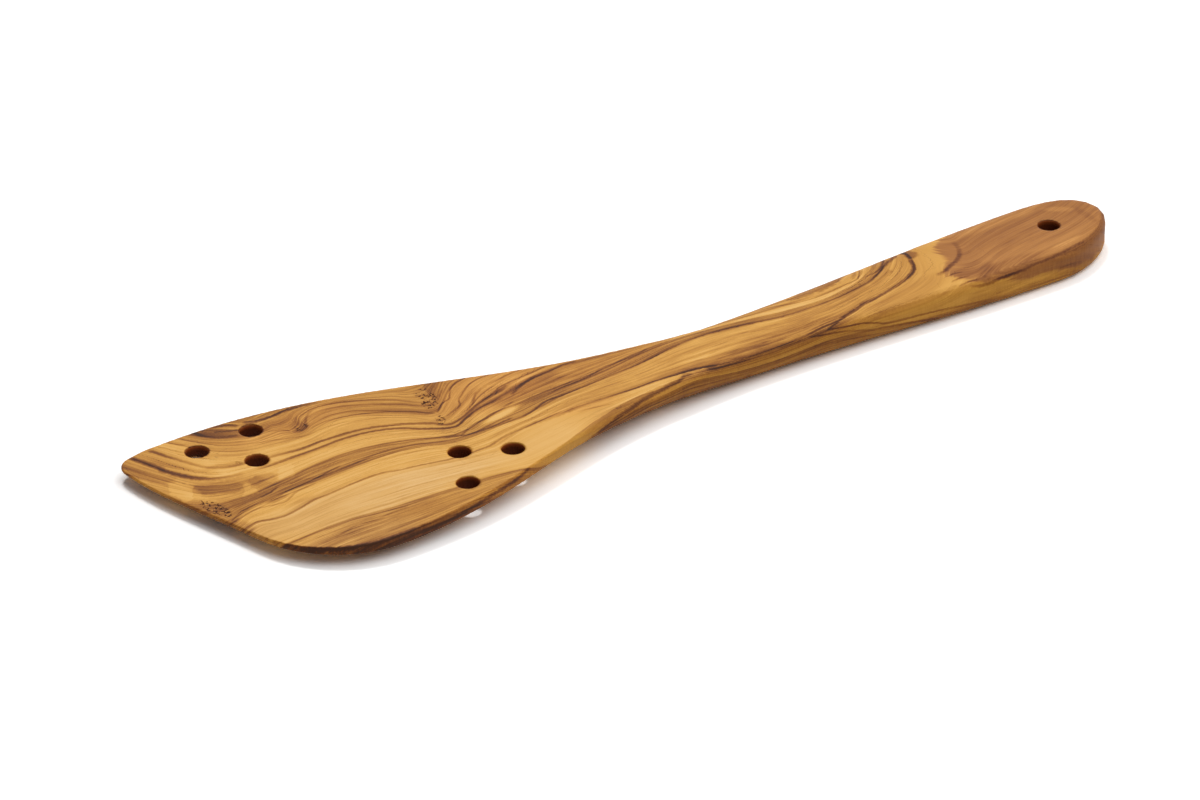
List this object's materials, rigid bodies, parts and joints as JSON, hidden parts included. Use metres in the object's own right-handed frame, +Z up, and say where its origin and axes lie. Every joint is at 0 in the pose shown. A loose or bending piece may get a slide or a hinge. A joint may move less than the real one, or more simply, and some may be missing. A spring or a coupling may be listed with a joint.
{
  "type": "wooden pan turner",
  "caption": "One-piece olive wood pan turner with a slanted, bevelled blade, round drain holes, a waisted neck and a flat grip with a hole to hang it by.",
  "frame": {"origin": "below the middle of the bounding box, on the surface that the turner lies on", "axes": "+X from the blade to the end of the grip, +Y to the long side of the blade with the pointed corner, +Z up out of the top face"},
  "size_m": [0.305, 0.0794, 0.0105],
  "materials": {
    "olive_wood": "oiled, fine sanded"
  },
  "bodies": {
    "root": {"spatula": "olive_wood"}
  },
  "joints": []
}
